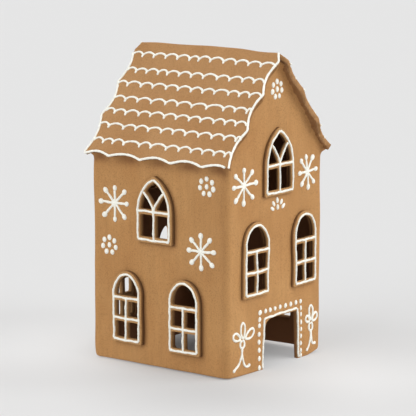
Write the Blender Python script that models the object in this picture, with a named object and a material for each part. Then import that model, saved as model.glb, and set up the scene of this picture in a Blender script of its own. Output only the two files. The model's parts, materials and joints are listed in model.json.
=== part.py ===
"""A ceramic gingerbread-house tealight holder, hollow and open underneath.

One wall shell with two gables carries two roof slabs with scalloped edges. Twelve window frames with
glazing bars stand proud of the wall, each in front of its own hole, and the front gable has a doorway.

Frame: origin on the table under the middle of the house, +Z up, the ridge along Y, the front gable
towards -Y. Each side of the house has its own coordinates: u to the right and z up as one faces it from
outside, so u is +x on the front, +y on the right, -x on the back and -y on the left. Units are metres.
"""

import math

import bmesh
import bpy
from mathutils import Matrix

MM = 0.001
HOUSE = "gingerbread_house"

# The house
RIDGE_HEIGHT = 271.2 * MM
HOUSE_WIDTH = 137.3 * MM
HOUSE_LENGTH = 144.6 * MM
WALL = 4.5 * MM
CORNER_RADIUS = 5 * MM
INNER_CORNER_RADIUS = 2 * MM
CORNER_STEPS = 5
GAP = 0.3 * MM
PAST = 10 * MM

# The roof, measured on its top surface: down the slope from the ridge, and along the ridge
ROOF_PITCH = math.radians(50.15)
ROOF_THICKNESS = 4 * MM
EAVE_REACH = 75.4 * MM
GABLE_REACH = {"left": 79 * MM, "right": 82 * MM}
EAVE_CUSPS = [-50 * MM, -16.5 * MM, 16 * MM, 50 * MM]
EAVE_HOLLOW = 3.5 * MM
GABLE_CUSPS = [9 * MM, 43 * MM, 78 * MM]
GABLE_HOLLOW = {"left": 4.8 * MM, "right": 3 * MM}
RIDGE_REACH = 75.4 * MM
SCALLOP_STEPS = 6

# The doorway, as the front gable's u at the top and at the foot
DOOR_LEFT_TOP, DOOR_RIGHT_TOP = -14.3 * MM, 31.5 * MM
DOOR_LEFT_FOOT, DOOR_RIGHT_FOOT = -17.3 * MM, 34 * MM
DOOR_HEIGHT = 43.2 * MM
DOOR_LEFT_RADIUS, DOOR_RIGHT_RADIUS = 6 * MM, 2 * MM

# The foot of the right wall stands clear of the table, most at the front: the clay has warped a little
FOOT_RISE = 4.6 * MM
FOOT_RISE_START = 44 * MM
FOOT_BACK_SHARE = 0.45
FOOT_STEPS = 6

# The window frames. The guide line of each is where its icing runs
FRAME_RELIEF = 4.0 * MM
FRONT_FRAME_RELIEF = 2.8 * MM
FRAME_MARGIN = 2.8 * MM
ARCHED_INSET = 1.6 * MM
POINTED_INSET = 2.0 * MM
MULLION = 3.2 * MM
BAR_ABOVE, BAR_BELOW = 1.5 * MM, 3.0 * MM
TRACERY = 3.8 * MM
TRACERY_SPREAD, TRACERY_RISE = 11 * MM, 17 * MM
PANE_RADIUS = 1.2 * MM
ARCH_STEPS = 8
PANE_STEPS = 7
ARCH_RISE = 17.8 * MM
HOLE_MARGIN = 1.0 * MM
HOLE_RADIUS = 4 * MM

# side, guide line's left, right, foot and top, lower bar, upper bar, mullion, in mm
ARCHED_WINDOWS = {
    "window_left_back": ("left", -47.6, -20.1, 21.1, 78.7, 40.0, 58.1, -34.2),
    "window_left_front": ("left", 14.4, 42.8, 19.7, 78.5, 38.9, 57.3, 28.6),
    "window_front_left": ("front", -47.3, -16.6, 69.0, 127.7, 87.9, 105.8, -32.6),
    "window_front_right": ("front", 23.9, 52.9, 68.2, 127.7, 86.5, 105.4, 37.9),
    "window_right_front": ("right", -41.0, -12.5, 25.0, 84.0, 44.5, 63.0, -27.0),
    "window_right_back": ("right", 16.5, 45.0, 21.5, 80.0, 41.0, 59.5, 30.5),
    "window_back_left": ("back", 15.3, 43.7, 29.0, 87.5, 48.3, 66.3, 28.2),
    "window_back_right": ("back", -45.0, -16.6, 45.5, 103.8, 64.5, 82.5, -31.0),
}
# side, guide line's left, right, foot, spring and apex, mullion, in mm
POINTED_WINDOWS = {
    "window_left_pointed": ("left", -20.1, 13.4, 112.0, 136.4, 164.1, -3.3),
    "window_front_pointed": ("front", -18.0, 18.6, 152.2, 175.7, 204.7, 0.3),
    "window_right_pointed": ("right", 12.0, 46.0, 112.0, 136.5, 164.5, 29.0),
    "window_back_pointed": ("back", -17.5, 17.5, 139.0, 163.0, 191.0, 0.2),
}
SIDE_TURNS = {"front": 0, "right": 90, "back": 180, "left": 270}

WALL_CLAY = (0.50, 0.27, 0.13, 1.0)
ROOF_CLAY = (0.45, 0.25, 0.12, 1.0)
FRAME_CLAY = (0.52, 0.29, 0.14, 1.0)


def clay(name, colour):
    """An unglazed clay body: rough, not metallic."""
    made = bpy.data.materials.new(name)
    made.use_nodes = True
    shader = made.node_tree.nodes["Principled BSDF"]
    shader.inputs["Base Color"].default_value = colour
    shader.inputs["Roughness"].default_value = 0.85
    shader.inputs["Metallic"].default_value = 0.0
    made.diffuse_color = colour
    return made


def collection(name):
    made = bpy.data.collections.new(name)
    bpy.context.scene.collection.children.link(made)
    return made


def arc(centre, radius, start, end, steps):
    """Points on a circle's arc, angles in radians, both ends included."""
    return [
        (
            centre[0] + radius * math.cos(start + (end - start) * k / steps),
            centre[1] + radius * math.sin(start + (end - start) * k / steps),
        )
        for k in range(steps + 1)
    ]


def rounded_rectangle(left, right, low, high, radius, steps):
    """A rectangle with round corners, anticlockwise."""
    corners = [
        ((right - radius, low + radius), -90),
        ((right - radius, high - radius), 0),
        ((left + radius, high - radius), 90),
        ((left + radius, low + radius), 180),
    ]
    points = []
    for centre, start in corners:
        points += arc(centre, radius, math.radians(start), math.radians(start + 90), steps)
    return points


def plate(name, outlines, thickness, home):
    """A flat plate on the XY plane, half its thickness each way: the first outline less the others.

    It starts as a filled 2D curve and ends as a closed mesh."""
    curve = bpy.data.curves.new(name, "CURVE")
    curve.dimensions = "2D"
    curve.fill_mode = "BOTH"
    curve.extrude = thickness / 2
    for outline in outlines:
        spline = curve.splines.new("POLY")
        spline.points.add(len(outline) - 1)
        for point, (x, y) in zip(spline.points, outline):
            point.co = (x, y, 0, 1)
        spline.use_cyclic_u = True
    drawn = bpy.data.objects.new(name + "_curve", curve)
    home.objects.link(drawn)
    bpy.context.view_layer.update()
    evaluated = drawn.evaluated_get(bpy.context.evaluated_depsgraph_get())
    mesh = bpy.data.meshes.new_from_object(evaluated)
    bpy.data.objects.remove(drawn)
    bm = bmesh.new()
    bm.from_mesh(mesh)
    bmesh.ops.remove_doubles(bm, verts=bm.verts, dist=GAP / 100)
    bmesh.ops.recalc_face_normals(bm, faces=bm.faces)
    bm.to_mesh(mesh)
    bm.free()
    made = bpy.data.objects.new(name, mesh)
    home.objects.link(made)
    return made


def on_side(side, out):
    """The placing of a plate drawn in a side's u and z, its middle plane lying out beyond the wall's face."""
    depth = (HOUSE_WIDTH if side in ("left", "right") else HOUSE_LENGTH) / 2
    turn = Matrix.Rotation(math.radians(SIDE_TURNS[side]), 4, "Z")
    stand = Matrix.Rotation(math.radians(90), 4, "X")
    return turn @ Matrix.Translation((0, -(depth + out), 0)) @ stand


def boolean(target, operation, tools):
    """Cuts or trims the target by each tool in turn."""
    for tool in tools:
        modifier = target.modifiers.new(tool.name, "BOOLEAN")
        modifier.operation = operation
        modifier.object = tool
        tool.hide_render = True
        tool.display_type = "WIRE"


class Arched:
    """A round-headed window: two rows of two panes under one arched pane.

    Its guide line is a rectangle up to the spring, and half an ellipse above."""

    inset = ARCHED_INSET

    def __init__(self, left, right, foot, top, lower_bar, upper_bar, mullion):
        self.foot, self.top = foot, top
        self.bars, self.mullion = (lower_bar, upper_bar), mullion
        self.centre, self.half = (left + right) / 2, (right - left) / 2
        self.spring = top - ARCH_RISE

    def reach(self, z, margin):
        """Half the width at height z, for a guide line moved out by the margin."""
        rise = min(max((z - self.spring) / (ARCH_RISE + margin), 0), 1)
        return (self.half + margin) * math.sqrt(1 - rise * rise)

    def outline(self, margin):
        """The guide line moved out by the margin, anticlockwise from its foot."""
        points = [(self.centre - self.half - margin, self.foot - margin)]
        points.append((self.centre + self.half + margin, self.foot - margin))
        for x, y in arc((0, 0), 1, 0, math.pi, 2 * ARCH_STEPS):
            points.append(
                (self.centre + x * (self.half + margin), self.spring + y * (ARCH_RISE + margin))
            )
        return points

    def panes(self):
        """Two rows of square-headed panes, and one pane under the arch."""
        low, high = self.bars
        rows = [(self.foot + self.inset, low - BAR_BELOW), (low + BAR_ABOVE, high - BAR_BELOW)]
        columns = [
            (self.centre - self.half + self.inset, self.mullion - MULLION / 2),
            (self.mullion + MULLION / 2, self.centre + self.half - self.inset),
        ]
        panes = [
            rounded_rectangle(*column, *row, PANE_RADIUS, 2) for row in rows for column in columns
        ]
        panes.append(
            between(
                lambda z: self.centre - self.reach(z, -self.inset),
                lambda z: self.centre + self.reach(z, -self.inset),
                high + BAR_ABOVE,
                self.top - self.inset - GAP / 10,
            )
        )
        return panes


class Pointed:
    """A lancet window: two panes below the bar, and above it two tracery bars that branch from the mullion.

    Its guide line is a rectangle up to the spring, and above it two circle arcs that meet at the apex."""

    inset = POINTED_INSET

    def __init__(self, left, right, foot, spring, top, mullion):
        self.foot, self.spring, self.top, self.mullion = foot, spring, top, mullion
        self.centre, self.half = (left + right) / 2, (right - left) / 2
        rise = top - spring
        self.radius = (self.half**2 + rise**2) / (2 * self.half)

    def reach(self, z, margin):
        """Half the width at height z, for a guide line moved out by the margin."""
        rise = max(z - self.spring, 0)
        across = math.sqrt(max((self.radius + margin) ** 2 - rise * rise, 0))
        return across - (self.radius - self.half)

    def outline(self, margin):
        """The guide line moved out by the margin, anticlockwise from its foot."""
        offset, radius = self.radius - self.half, self.radius + margin
        apex = math.acos(offset / radius)
        right = arc((self.centre - offset, self.spring), radius, 0, apex, ARCH_STEPS)
        left = arc((self.centre + offset, self.spring), radius, math.pi - apex, math.pi, ARCH_STEPS)
        foot = self.foot - margin
        return [(self.centre - self.half - margin, foot), (self.centre + self.half + margin, foot)] + (
            right + left[1:]
        )

    def tracery(self, z):
        """How far a tracery bar's middle has spread from the mullion at height z: it bends outwards as it climbs."""
        climb = max(z - self.spring, 0) / TRACERY_RISE
        return TRACERY_SPREAD * climb**1.5

    def panes(self):
        """Two panes below the bar, a three-sided pane each side above it, and one under the apex."""
        low, high = self.foot + self.inset, self.spring - BAR_BELOW
        above = self.spring + BAR_ABOVE
        panes = [
            rounded_rectangle(left, right, low, high, PANE_RADIUS, 2)
            for left, right in (
                (self.centre - self.half + self.inset, self.mullion - MULLION / 2),
                (self.mullion + MULLION / 2, self.centre + self.half - self.inset),
            )
        ]
        for side in (-1, 1):
            wall = lambda z, side=side: self.centre + side * self.reach(z, -self.inset)
            bar = lambda z, side=side: self.mullion + side * (self.tracery(z) + TRACERY / 2)
            left, right = (wall, bar) if side < 0 else (bar, wall)
            panes.append(between(left, right, above, self.top))
        panes.append(
            between(
                lambda z: max(
                    self.mullion - self.tracery(z) + TRACERY / 2, self.centre - self.reach(z, -self.inset)
                ),
                lambda z: min(
                    self.mullion + self.tracery(z) - TRACERY / 2, self.centre + self.reach(z, -self.inset)
                ),
                above,
                self.top,
            )
        )
        return panes


def between(left, right, low, high):
    """The outline of the space between two edges given as functions of height, over the stretch where it is open."""
    scan = 400
    heights = [low + (high - low) * k / scan for k in range(scan + 1)]
    open_heights = [z for z in heights if right(z) - left(z) > 0.8 * MM]
    low, high = open_heights[0], open_heights[-1]
    stops = [
        low + (high - low) * (1 - math.cos(math.pi * k / PANE_STEPS)) / 2 for k in range(PANE_STEPS + 1)
    ]
    return [(right(z), z) for z in stops] + [(left(z), z) for z in reversed(stops)]


def wall_hole(window):
    """The hole behind a window: a margin larger than its glazing, with its two lower corners rounded."""
    margin = HOLE_MARGIN - window.inset
    outline = window.outline(margin)
    left, right = outline[0][0], outline[1][0]
    foot = outline[0][1] + HOLE_RADIUS
    quarter = math.pi / 2
    lower_left = arc((left + HOLE_RADIUS, foot), HOLE_RADIUS, 2 * quarter, 3 * quarter, 3)
    lower_right = arc((right - HOLE_RADIUS, foot), HOLE_RADIUS, 3 * quarter, 4 * quarter, 3)
    return lower_left + lower_right + outline[2:]


def windows():
    """Each window's name, its side and its shape."""
    for name, (side, *sizes) in ARCHED_WINDOWS.items():
        yield name, side, Arched(*[size * MM for size in sizes])
    for name, (side, *sizes) in POINTED_WINDOWS.items():
        yield name, side, Pointed(*[size * MM for size in sizes])


def roof_underside(x):
    """The height of the roof slabs' underside at a distance x from the ridge plane."""
    return RIDGE_HEIGHT - ROOF_THICKNESS / math.cos(ROOF_PITCH) - math.tan(ROOF_PITCH) * abs(x)


def doorway():
    """The doorway's outline on the front, from below the foot: wider at the foot, its top left corner round."""
    left = arc(
        (DOOR_LEFT_TOP + DOOR_LEFT_RADIUS, DOOR_HEIGHT - DOOR_LEFT_RADIUS),
        DOOR_LEFT_RADIUS,
        math.radians(175),
        math.radians(90),
        5,
    )
    right = arc(
        (DOOR_RIGHT_TOP - DOOR_RIGHT_RADIUS, DOOR_HEIGHT - DOOR_RIGHT_RADIUS),
        DOOR_RIGHT_RADIUS,
        math.radians(90),
        math.radians(5),
        3,
    )
    feet = [(DOOR_RIGHT_FOOT, 0), (DOOR_RIGHT_FOOT, -PAST), (DOOR_LEFT_FOOT, -PAST), (DOOR_LEFT_FOOT, 0)]
    return left + right + feet


def foot_relief(cutters):
    """What is cut away under the right wall: its height grows with the square of the way from its start to
    the wall's face, and falls to a share of that along the wall to the back."""
    reach = HOUSE_WIDTH / 2 - FOOT_RISE_START
    ways = [1.5 * k / FOOT_STEPS for k in range(FOOT_STEPS + 1)]
    curve = [(FOOT_RISE_START + reach * way, FOOT_RISE * way * way) for way in ways]
    below = [(curve[-1][0], -PAST), (curve[0][0], -PAST)]
    tool = plate("foot_relief", [curve + below], HOUSE_LENGTH, cutters)
    for vertex in tool.data.vertices:
        if vertex.co.y > 0 and vertex.co.z < 0:
            vertex.co.y *= FOOT_BACK_SHARE
    tool.data.transform(Matrix.Scale(1 + PAST / HOUSE_LENGTH, 4, (0, 0, 1)))
    tool.rotation_euler = (math.radians(90), 0, 0)
    return tool


def walls(home, cutters):
    """The wall shell: a rounded rectangular tube, cut off under the roof, with its window holes and doorway."""
    half_x, half_y = HOUSE_WIDTH / 2, HOUSE_LENGTH / 2
    outer = rounded_rectangle(-half_x, half_x, -half_y, half_y, CORNER_RADIUS, CORNER_STEPS)
    inner = rounded_rectangle(
        WALL - half_x, half_x - WALL, WALL - half_y, half_y - WALL, INNER_CORNER_RADIUS, 3
    )
    shell = plate("walls", [outer, inner], RIDGE_HEIGHT, home)
    shell.location = (0, 0, RIDGE_HEIGHT / 2)

    seat = GAP / math.cos(ROOF_PITCH)
    wide = half_x + PAST
    profile = [
        (-wide, -PAST),
        (wide, -PAST),
        (wide, roof_underside(wide) - seat),
        (0, roof_underside(0) - seat),
        (-wide, roof_underside(wide) - seat),
    ]
    under_roof = plate("under_roof", [profile], HOUSE_LENGTH + 2 * PAST, cutters)
    under_roof.rotation_euler = (math.radians(90), 0, 0)
    boolean(shell, "INTERSECT", [under_roof])

    tools = [(side, plate("hole_" + name, [wall_hole(w)], 4 * WALL, cutters)) for name, side, w in windows()]
    tools.append(("front", plate("hole_doorway", [doorway()], 4 * WALL, cutters)))
    for side, tool in tools:
        tool.matrix_world = on_side(side, 0)
    boolean(shell, "DIFFERENCE", [tool for side, tool in tools] + [foot_relief(cutters)])
    return shell


def scallops(stops, hollow):
    """A scalloped edge as (along, back from the cusps' line), from the first stop to the last.

    Between two cusps the edge draws back along a half sine, as a cutter's rim leaves it."""
    points = []
    for start, end in zip(stops, stops[1:]):
        for k in range(SCALLOP_STEPS):
            share = k / SCALLOP_STEPS
            points.append((start + (end - start) * share, hollow * math.sin(math.pi * share)))
    return points


def roof_outline(slab):
    """A slab's outline, x down the slope from the ridge plane and y along the ridge.

    The right slab reaches further past the gables than the left one, except at the ridge, where they meet."""
    slope, reach = EAVE_REACH / math.cos(ROOF_PITCH), GABLE_REACH[slab]
    edge = scallops([*GABLE_CUSPS, slope], GABLE_HOLLOW[slab])
    eave = scallops([-reach, *EAVE_CUSPS, reach], EAVE_HOLLOW)
    front = [(0, -RIDGE_REACH)] + [(along, -reach + back) for along, back in edge]
    lower = [(slope - back, along) for along, back in eave]
    rear = [(along, -across) for along, across in [(slope, -reach), *reversed(front)]]
    return front + lower + rear


def roof_slab(name, home):
    """One roof slab, named roof_left or roof_right.

    Its underside starts further down the slope than its top, so that the two slabs meet in a mitre."""
    side = name.split("_")[1]
    slab = plate(name, [roof_outline(side)], ROOF_THICKNESS, home)
    for vertex in slab.data.vertices:
        if vertex.co.x < GABLE_CUSPS[0] / 2:
            under = ROOF_THICKNESS * math.tan(ROOF_PITCH) if vertex.co.z < 0 else 0
            vertex.co.x = under + GAP / 2 / math.cos(ROOF_PITCH)
    slope_frame = Matrix.Translation((0, 0, RIDGE_HEIGHT)) @ Matrix.Rotation(ROOF_PITCH, 4, "Y")
    slab.data.transform(slope_frame @ Matrix.Translation((0, 0, -ROOF_THICKNESS / 2)))
    if side == "left":
        slab.data.transform(Matrix.Scale(-1, 4, (1, 0, 0)))
        slab.data.flip_normals()
    return slab


def window_frame(name, side, window, home):
    """A raised frame with its glazing bars: a plate with a hole for each pane, a gap clear of the wall."""
    outlines = [window.outline(FRAME_MARGIN), *window.panes()]
    relief = FRONT_FRAME_RELIEF if side == "front" else FRAME_RELIEF
    frame = plate(name, outlines, relief, home)
    frame.matrix_world = on_side(side, GAP + relief / 2)
    return frame


def main():
    for old in list(bpy.data.objects):
        bpy.data.objects.remove(old)
    home, cutters = collection(HOUSE), collection("cutters")
    wall_clay, roof_clay, frame_clay = (
        clay("wall_clay", WALL_CLAY),
        clay("roof_clay", ROOF_CLAY),
        clay("frame_clay", FRAME_CLAY),
    )
    walls(home, cutters).data.materials.append(wall_clay)
    for name in ("roof_left", "roof_right"):
        roof_slab(name, home).data.materials.append(roof_clay)
    for name, side, window in windows():
        window_frame(name, side, window, home).data.materials.append(frame_clay)


main()
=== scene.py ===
"""The looks of a ceramic gingerbread house for a tealight: brown fired clay with white piped slip.

Lengths are millimetres until write_piece() puts them into a mesh, in metres. Each side of the house
has its own coordinates, u to the right and z up as one faces it from outside, as in the CAD model.
The roof has y along the ridge and t over it: t is the way down the slope from the ridge, above 0 on
the left slab and below 0 on the right one.
"""

import json
import math

import bmesh
import bpy
import numpy as np
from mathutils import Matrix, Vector
from mathutils.geometry import delaunay_2d_cdt


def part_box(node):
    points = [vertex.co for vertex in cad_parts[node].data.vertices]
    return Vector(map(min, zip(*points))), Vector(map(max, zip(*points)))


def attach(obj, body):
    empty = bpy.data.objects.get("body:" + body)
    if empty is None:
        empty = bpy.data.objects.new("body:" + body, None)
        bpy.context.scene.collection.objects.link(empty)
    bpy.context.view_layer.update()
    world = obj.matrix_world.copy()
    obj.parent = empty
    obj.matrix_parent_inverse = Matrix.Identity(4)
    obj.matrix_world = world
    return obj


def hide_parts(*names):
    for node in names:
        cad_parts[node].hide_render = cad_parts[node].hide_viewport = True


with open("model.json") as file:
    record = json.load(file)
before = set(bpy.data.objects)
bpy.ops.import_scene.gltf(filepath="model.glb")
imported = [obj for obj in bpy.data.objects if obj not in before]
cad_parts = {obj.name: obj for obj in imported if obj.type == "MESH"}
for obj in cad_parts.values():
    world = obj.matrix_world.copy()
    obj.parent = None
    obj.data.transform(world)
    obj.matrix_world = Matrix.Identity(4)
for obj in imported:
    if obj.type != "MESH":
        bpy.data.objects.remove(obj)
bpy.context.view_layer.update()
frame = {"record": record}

METRE = 1000.0
# Each side's quarter turns from the front, and the order of the sides round the house
SIDE_TURNS = {"front": 0, "right": 1, "back": 2, "left": 3}
ROUND = ("back", "left", "front", "right")


def box_mm(node):
    """The lowest and highest corners of a CAD node, in mm."""
    low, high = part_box(node)
    return np.array(low) * METRE, np.array(high) * METRE


# The CAD model's own sizes. The slabs' planes cross at RIDGE, a little above the roof's rounded top
roof_low, roof_high = box_mm("roof_left")
HALF_X, HALF_Y = box_mm("walls")[1][:2]
GABLE_RIGHT_Y = box_mm("roof_right")[1][1]
RIDGE = roof_high[2] + 0.2
EAVE_X, GABLE_Y = -roof_low[0], roof_high[1]
WALL = 4.5
PITCH = math.radians(50.15)
SLAB = 4.0
SLOPE = EAVE_X / math.cos(PITCH)
openings = {o["name"]: o["box_m"] for o in frame["record"]["physics"]["openings"]}
DOOR_LOW, DOOR_HIGH = (np.array(corner) * METRE for corner in openings["doorway"])

# The walls: the radius of their corners in plan, and how far each edge is rounded
CORNER = 5.0
FOOT_ROUND, FOOT_ROUND_INSIDE = 1.3, 1.0
DOOR_EDGE = 0.9
HOLE_FACE_EDGE, HOLE_EDGE = 0.3, 1.6
# Their tops: the coving's height, how far they run into the slabs, and where the inside stretches
COVING = 8.0
INTO_SLAB = 0.6
SEAT_BLEND = 25.0
# Their unevenness: waves as (how many round the house, height of one), and the back's extra bulge
SWELL_WAVES = ((4, 260), (7, 150), (10, 95), (13, 70), (17, 50), (22, 38))
SWELL, BACK_SWELL, BACK_BLEND = 0.22, 0.6, 12
# The corners' feet tuck in by so much at the back and at the front, over this height
TUCK_BACK, TUCK_FRONT, TUCK_HEIGHT = 1.8, 0.5, 3.5
# The back left corner stands squarer than the others
SQUARED = 1.6
# The foot's warp: how high it lifts at a corner, and the x at which that starts, right and left
WARP_RIGHT, WARP_RIGHT_FROM = 4.6, 44
WARP_LEFT, WARP_LEFT_FROM = 1.2, 30
WARP_HEIGHT = 30
# The spacing of a sheet's inner points, and of those round the walls' top edge
STEP = 2.5
COLUMN_STEP = 1.6

# The windows: the guide line is where the icing runs, and the frame is a margin larger
MARGIN = 2.8
ARCH_RISE = 17.8
ARCHED_INSET, POINTED_INSET = 1.6, 2.0
MULLION = 3.2
BAR_ABOVE, BAR_BELOW = 1.5, 3.0
TRACERY, TRACERY_SPREAD, TRACERY_RISE = 3.8, 11.0, 17.0
HOLE_MARGIN = 1.9
FRAME_EDGE, FRAME_BACK_EDGE = 0.9, 1.2
FRAME_SUNK = 0.8
FRAME_STEP, FRAME_GRID = 0.8, 1.4
# How far the front's frames stand to the right of their CAD places
FRONT_SHIFT = 1.3
# Beside which edges of a side's frames painted shadow lies, 1 for the right one and -1 for the
# left one, and how much of it
SHADED = {
    "left": [(1, 0.55), (-1, 0.12)],
    "front": [(-1, 0.1), (1, 0.05)],
    "right": [(1, 0.3), (-1, 0.2)],
    "back": [(1, 0.3), (-1, 0.2)],
}

# Each arched window: its lower and upper bar above the foot line, and the mullion's way off the middle
ARCHED = {
    "left_back": (18.9, 37.0, -0.4),
    "left_front": (19.2, 37.6, 0.0),
    "front_left": (18.9, 36.8, -0.6),
    "front_right": (18.3, 37.2, -0.5),
    "right_front": (19.5, 38.0, -0.2),
    "right_back": (19.5, 38.0, -0.2),
    "back_left": (19.3, 37.3, -1.3),
    "back_right": (19.0, 37.0, -0.2),
}
# Each pointed window: its spring above the foot line, and the mullion's way off the middle
POINTED = {
    "left_pointed": (24.4, 0.1),
    "front_pointed": (23.5, 0.0),
    "right_pointed": (24.5, 0.0),
    "back_pointed": (24.0, 0.2),
}

# The roof's scallops: cusps down the slope on the gable edges, and along the eaves
GABLE_CUSPS = [9.0, 43.0, 78.0, SLOPE]
GABLE_HOLLOW, GABLE_RIGHT_HOLLOW = 4.8, 3.0
RIDGE_REACH = 74.4
EAVE_CUSPS = [-50.0, -16.5, 16.0, 50.0]
EAVE_HOLLOW = 3.5
# The right slab's gable ends draw in towards the eave, by so much from this far down the slope
RIGHT_DRAWN_IN, DRAWN_IN_FROM, DRAWN_IN_OVER = 2.2, 82, 20
RIDGE_ROUND = 0.8
MITRE_BLEND = 14.0
# Its unevenness: waves as (length along the ridge, length over it), and a crown along the ridge
ROOF_WAVES = ((120, 90), (70, 140), (45, 60), (33, 38))
ROOF_SWELL = 0.25
ROOF_CROWN, CROWN_REACH = 1.1, 60
# Its edges: their rounding on top and below, the spacing of their points, and how far they stray
ROOF_EDGE, ROOF_EDGE_BELOW = 0.9, 0.8
ROOF_STEP = 1.1
STRAY = 0.25
WORN_SHORT = 3.4
# Painted shade lies on the lower part of its cut edges and on its underside, from this depth, and this
# dark
ROOF_SHADE_FROM, ROOF_SHADE = 2.6, 0.8

# The piped lines: width and height, how far a row of scallops hangs, and the points of one line
LINE = 2.0
LINE_HEIGHT = 0.9
ROW_DEPTH = 3.7
SECTION = 10
LINE_STEP = 0.7
DOT_SECTION = 16


# ---- helpers -----------------------------------------------------------------------------


def smooth(t):
    """The smooth step from 0 to 1."""
    t = np.clip(t, 0, 1)
    return t * t * (3 - 2 * t)


def bell(gap, reach):
    """The bell curve: 1 where the gap is nothing, and about a third at its reach."""
    return np.exp(-((gap / reach) ** 2))


def ripple(distance, lengths, amount, seed):
    """A wandering line: sine waves of the given lengths added up, each at a phase of its own."""
    rng = np.random.default_rng(seed)
    waves = [np.sin(2 * np.pi * (distance / length + rng.random())) for length in lengths]
    return amount * np.sum(waves, axis=0) / math.sqrt(len(lengths))


def along(points):
    """Distance along a line of points, from its first."""
    steps = np.linalg.norm(np.diff(points, axis=0), axis=1)
    return np.concatenate([[0], np.cumsum(steps)])


def resample(points, step, closed=False):
    """Points a step apart along a line of straight pieces."""
    points = np.asarray(points, float)
    if closed:
        points = np.vstack([points, points[:1]])
    reach = along(points)
    count = max(int(round(reach[-1] / step)), 2)
    stops = np.linspace(0, reach[-1], count + 1)
    if closed:
        stops = stops[:-1]
    return np.stack([np.interp(stops, reach, points[:, k]) for k in range(2)], 1)


def soften(points, passes):
    """A closed line with its corners rounded.

    At each pass a point moves to the mean of itself, counted twice, and its two neighbours."""
    for _ in range(passes):
        points = (np.roll(points, 1, 0) + 2 * points + np.roll(points, -1, 0)) / 4
    return points


def inside(points, loop):
    """Which points lie inside a closed line: going right from one crosses it an odd number of times."""
    x, y = points[:, 0], points[:, 1]
    found = np.zeros(len(points), bool)
    for (x0, y0), (x1, y1) in zip(loop, np.roll(loop, -1, 0)):
        if y0 == y1:
            continue
        crosses = (y0 > y) != (y1 > y)
        found ^= crosses & (x < x0 + (y - y0) * (x1 - x0) / (y1 - y0))
    return found


def grid_points(xs, ys):
    """Every x with every y, as rows of points."""
    return np.stack(np.meshgrid(xs, ys), -1).reshape(-1, 2)


def oval(centre, across, tall, angles):
    """Points on an ellipse at the given angles, from its rightmost point anticlockwise."""
    return np.stack([centre[0] + across * np.cos(angles), centre[1] + tall * np.sin(angles)], 1)


def write_piece(name, points, faces, material, replaced=(), painted_shade=None):
    """Makes a mesh piece from points in mm and a list of face arrays. It rides on the house.

    At each point, from 0 to 1, the last argument says how much painted shade darkens the colour there."""
    mesh = bpy.data.meshes.new(name)
    corners = [np.asarray(f, np.int32) for f in faces if len(f)]
    rows = [row for f in corners for row in f.tolist()]
    mesh.from_pydata((np.asarray(points) / METRE).tolist(), [], rows)
    mesh.polygons.foreach_set("use_smooth", np.ones(len(mesh.polygons), bool))
    mesh.update()
    if painted_shade is not None:
        layer = mesh.attributes.new("painted_shade", "FLOAT", "POINT")
        layer.data.foreach_set("value", painted_shade.astype(np.float32))
    made = bpy.data.objects.new(name, mesh)
    bpy.context.scene.collection.objects.link(made)
    made.data.materials.append(material)
    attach(made, "root")
    if replaced:
        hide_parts(*replaced)
    return made


# ---- places on the house -----------------------------------------------------------------


def side_half(side):
    """Half the width of a side."""
    return HALF_X if side in ("front", "back") else HALF_Y


def side_depth(side):
    """How far a side's face is from the middle of the house."""
    return HALF_Y if side in ("front", "back") else HALF_X


def place(side, u, z, out):
    """A side's own coordinates as the house's: a quarter turn about Z for each side."""
    turn = SIDE_TURNS[side] * math.pi / 2
    depth = side_depth(side) + out
    x = math.cos(turn) * u + math.sin(turn) * depth
    y = math.sin(turn) * u - math.cos(turn) * depth
    return np.stack([x, y, np.broadcast_to(z, np.shape(x))], -1)


CORNER_RUN = CORNER * math.pi / 2
START = {}
PERIMETER = 0.0
for side_name in ROUND:
    START[side_name] = PERIMETER
    PERIMETER += 2 * (side_half(side_name) - CORNER) + CORNER_RUN


def round_way(side, u):
    """The distance round the house of a side's u."""
    return START[side] + u + side_half(side) - CORNER


def wall_plan(s):
    """The outer face's plan at the distance s round the house: straight runs and quarter circles.

    Returns the points, the outward directions, and how far round a corner each is, 0 to 1 to 0."""
    s = np.mod(s, PERIMETER)
    plan, out, turned = np.zeros((len(s), 2)), np.zeros((len(s), 2)), np.zeros(len(s))
    for side in ROUND:
        run = 2 * (side_half(side) - CORNER)
        local = s - START[side]
        mine = (local >= -1e-9) & (local <= run + CORNER_RUN)
        angle = np.clip(local - run, 0, None) / CORNER
        u = np.minimum(local, run) - run / 2 + CORNER * np.sin(angle)
        deep = CORNER * np.cos(angle) - CORNER
        here = place(side, u, 0 * u, deep)[:, :2]
        # a point 1 mm inwards, square to the face
        behind = place(side, u - np.sin(angle), 0 * u, deep - np.cos(angle))[:, :2]
        plan[mine] = here[mine]
        out[mine] = (here - behind)[mine]
        turned[mine] = np.sin(2 * angle)[mine]
    return plan, out, turned


def swell(s, z):
    """How far hand-worked clay stands out from a flat wall: slow waves, whole numbers of them round it.

    Each is a sine of the distance s times a sine of the height. The back wall and its corners bulge
    a little more."""
    rng = np.random.default_rng(11)
    total = np.zeros(np.broadcast(s, z).shape)
    for waves, height in SWELL_WAVES:
        phase = rng.random(2) * 2 * np.pi
        across = np.sin(2 * np.pi * waves * s / PERIMETER + phase[0])
        total += across * np.sin(2 * np.pi * z / height + phase[1])
    s = np.mod(s, PERIMETER)
    past_back = np.maximum(START["left"] + BACK_BLEND - s, s - PERIMETER + BACK_BLEND + CORNER_RUN)
    return SWELL * total + BACK_SWELL * smooth(past_back / BACK_BLEND)


def on_wall(side, stand=0.0):
    """The surface of a side for what stands out from it: the wall's own swell carries it."""

    def surface(points, out):
        u, z = points[..., 0], points[..., 1]
        return place(side, u, z, stand + out + swell(round_way(side, u), z))

    return surface


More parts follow.
